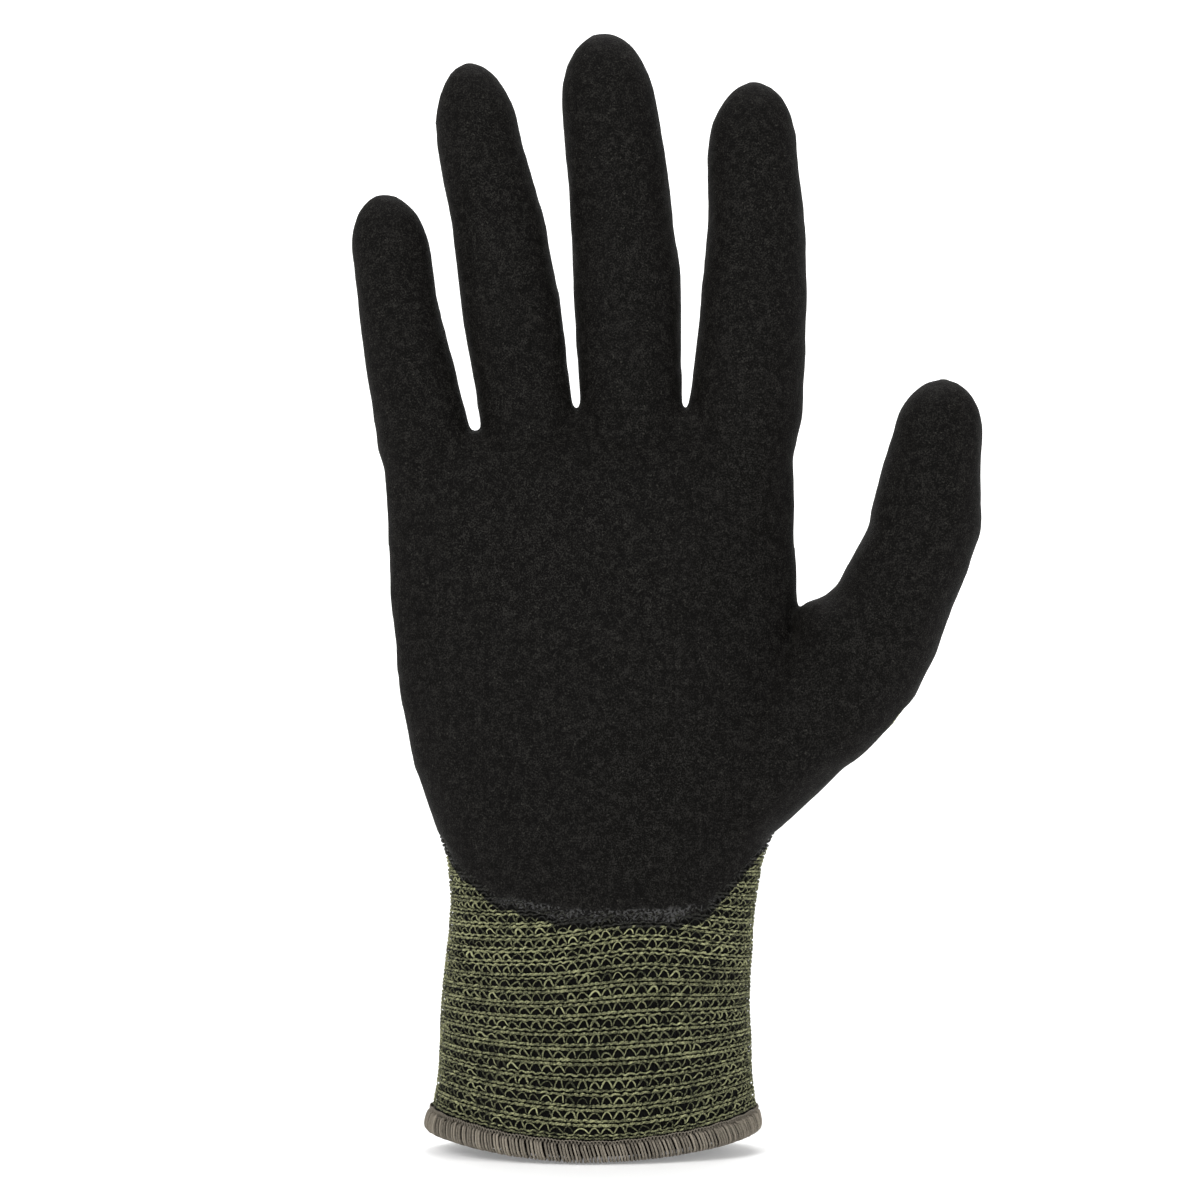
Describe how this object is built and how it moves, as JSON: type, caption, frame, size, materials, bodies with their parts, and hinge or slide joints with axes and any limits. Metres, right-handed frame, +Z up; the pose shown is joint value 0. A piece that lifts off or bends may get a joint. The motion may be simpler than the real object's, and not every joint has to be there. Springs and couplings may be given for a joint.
{
  "type": "cut resistant glove",
  "caption": "Knitted cut resistant glove for the right hand with a nitrile-dipped palm, an elastic knit cuff and an overlocked hem.",
  "frame": {"origin": "centre of the wrist opening, in the plane of the hem's lower edge", "axes": "+Z up the hand to the fingertips, -Y out of the palm, +X to the thumb's side"},
  "size_m": [0.1391, 0.0506, 0.2449],
  "materials": {
    "knit": "olive and black cut resistant yarn, seamless 18 gauge knit",
    "nitrile": "matte sandy foam nitrile, black",
    "elastic": "covered elastic yarn, black",
    "hem_thread": "grey brown overlock thread"
  },
  "bodies": {
    "cuff": {"cuff_knit": "knit", "cuff_elastic_yarns": "elastic", "hem_overlock_thread": "hem_thread", "wrist_fold": "knit"},
    "hand": {"hand_knit": "knit", "hand_coating": "nitrile", "index_root_fold": "nitrile", "middle_root_fold": "nitrile", "ring_root_fold": "nitrile", "little_root_fold": "nitrile", "thumb_base_fold": "nitrile"},
    "index_lower": {"index_lower_knit": "knit", "index_lower_coating": "nitrile", "index_middle_fold": "nitrile"},
    "index_centre": {"index_centre_knit": "knit", "index_centre_coating": "nitrile", "index_tip_fold": "nitrile"},
    "index_end": {"index_end_knit": "knit", "index_end_coating": "nitrile"},
    "middle_lower": {"middle_lower_knit": "knit", "middle_lower_coating": "nitrile", "middle_middle_fold": "nitrile"},
    "middle_centre": {"middle_centre_knit": "knit", "middle_centre_coating": "nitrile", "middle_tip_fold": "nitrile"},
    "middle_end": {"middle_end_knit": "knit", "middle_end_coating": "nitrile"},
    "ring_lower": {"ring_lower_knit": "knit", "ring_lower_coating": "nitrile", "ring_middle_fold": "nitrile"},
    "ring_centre": {"ring_centre_knit": "knit", "ring_centre_coating": "nitrile", "ring_tip_fold": "nitrile"},
    "ring_end": {"ring_end_knit": "knit", "ring_end_coating": "nitrile"},
    "little_lower": {"little_lower_knit": "knit", "little_lower_coating": "nitrile", "little_middle_fold": "nitrile"},
    "little_centre": {"little_centre_knit": "knit", "little_centre_coating": "nitrile", "little_tip_fold": "nitrile"},
    "little_end": {"little_end_knit": "knit", "little_end_coating": "nitrile"},
    "thumb_lower": {"thumb_lower_knit": "knit", "thumb_lower_coating": "nitrile", "thumb_tip_fold": "nitrile"},
    "thumb_end": {"thumb_end_knit": "knit", "thumb_end_coating": "nitrile"}
  },
  "joints": [
    {"name": "wrist_bend", "type": "hinge", "parent": "cuff", "child": "hand", "pos_m": [0, 0, 0.042], "axis": [1, 0, 0], "range_deg": [-40, 40], "stiffness_Nm_per_rad": 0.15, "deforming": ["wrist_fold"]},
    {"name": "index_root_bend", "type": "hinge", "parent": "hand", "child": "index_lower", "pos_m": [0.03295, -0.003, 0.16919], "axis": [0.999, 0, -0.0436], "range_deg": [0, 70], "stiffness_Nm_per_rad": 0.012, "deforming": ["index_root_fold"]},
    {"name": "index_middle_bend", "type": "hinge", "parent": "index_lower", "child": "index_centre", "pos_m": [0.03369, -0.003, 0.18618], "axis": [0.999, 0, -0.0436], "range_deg": [0, 80], "stiffness_Nm_per_rad": 0.006, "deforming": ["index_middle_fold"]},
    {"name": "index_tip_bend", "type": "hinge", "parent": "index_centre", "child": "index_end", "pos_m": [0.03469, -0.003, 0.20915], "axis": [0.999, 0, -0.0436], "range_deg": [0, 45], "stiffness_Nm_per_rad": 0.004, "deforming": ["index_tip_fold"]},
    {"name": "middle_root_bend", "type": "hinge", "parent": "hand", "child": "middle_lower", "pos_m": [0.00749, -0.003, 0.17068], "axis": [0.9971, 0, 0.0767], "range_deg": [0, 70], "stiffness_Nm_per_rad": 0.012, "deforming": ["middle_root_fold"]},
    {"name": "middle_middle_bend", "type": "hinge", "parent": "middle_lower", "child": "middle_centre", "pos_m": [0.00595, -0.003, 0.19062], "axis": [0.9971, 0, 0.0767], "range_deg": [0, 80], "stiffness_Nm_per_rad": 0.006, "deforming": ["middle_middle_fold"]},
    {"name": "middle_tip_bend", "type": "hinge", "parent": "middle_centre", "child": "middle_end", "pos_m": [0.00388, -0.003, 0.21754], "axis": [0.9971, 0, 0.0767], "range_deg": [0, 45], "stiffness_Nm_per_rad": 0.004, "deforming": ["middle_tip_fold"]},
    {"name": "ring_root_bend", "type": "hinge", "parent": "hand", "child": "ring_lower", "pos_m": [-0.01645, -0.003, 0.1681], "axis": [0.9877, 0, 0.1564], "range_deg": [0, 70], "stiffness_Nm_per_rad": 0.012, "deforming": ["ring_root_fold"]},
    {"name": "ring_middle_bend", "type": "hinge", "parent": "ring_lower", "child": "ring_centre", "pos_m": [-0.01927, -0.003, 0.18588], "axis": [0.9877, 0, 0.1564], "range_deg": [0, 80], "stiffness_Nm_per_rad": 0.006, "deforming": ["ring_middle_fold"]},
    {"name": "ring_tip_bend", "type": "hinge", "parent": "ring_centre", "child": "ring_end", "pos_m": [-0.02334, -0.003, 0.21156], "axis": [0.9877, 0, 0.1564], "range_deg": [0, 45], "stiffness_Nm_per_rad": 0.004, "deforming": ["ring_tip_fold"]},
    {"name": "little_root_bend", "type": "hinge", "parent": "hand", "child": "little_lower", "pos_m": [-0.03794, -0.003, 0.16317], "axis": [0.9836, 0, 0.1805], "range_deg": [0, 70], "stiffness_Nm_per_rad": 0.012, "deforming": ["little_root_fold"]},
    {"name": "little_middle_bend", "type": "hinge", "parent": "little_lower", "child": "little_centre", "pos_m": [-0.0402, -0.003, 0.17546], "axis": [0.9836, 0, 0.1805], "range_deg": [0, 80], "stiffness_Nm_per_rad": 0.006, "deforming": ["little_middle_fold"]},
    {"name": "little_tip_bend", "type": "hinge", "parent": "little_centre", "child": "little_end", "pos_m": [-0.04318, -0.003, 0.19169], "axis": [0.9836, 0, 0.1805], "range_deg": [0, 45], "stiffness_Nm_per_rad": 0.004, "deforming": ["little_tip_fold"]},
    {"name": "thumb_base_bend", "type": "hinge", "parent": "hand", "child": "thumb_lower", "pos_m": [0.06221, -0.00678, 0.11853], "axis": [0.8187, -0.3746, -0.4353], "range_deg": [0, 45], "stiffness_Nm_per_rad": 0.012, "deforming": ["thumb_base_fold"]},
    {"name": "thumb_tip_bend", "type": "hinge", "parent": "thumb_lower", "child": "thumb_end", "pos_m": [0.07193, -0.00678, 0.13666], "axis": [0.8793, -0.3746, -0.2942], "range_deg": [0, 70], "stiffness_Nm_per_rad": 0.006, "deforming": ["thumb_tip_fold"]}
  ],
  "couplings": [
    {"joint": "index_tip_bend", "follows": "index_middle_bend", "ratio": 0.5625},
    {"joint": "middle_tip_bend", "follows": "middle_middle_bend", "ratio": 0.5625},
    {"joint": "ring_tip_bend", "follows": "ring_middle_bend", "ratio": 0.5625},
    {"joint": "little_tip_bend", "follows": "little_middle_bend", "ratio": 0.5625}
  ]
}
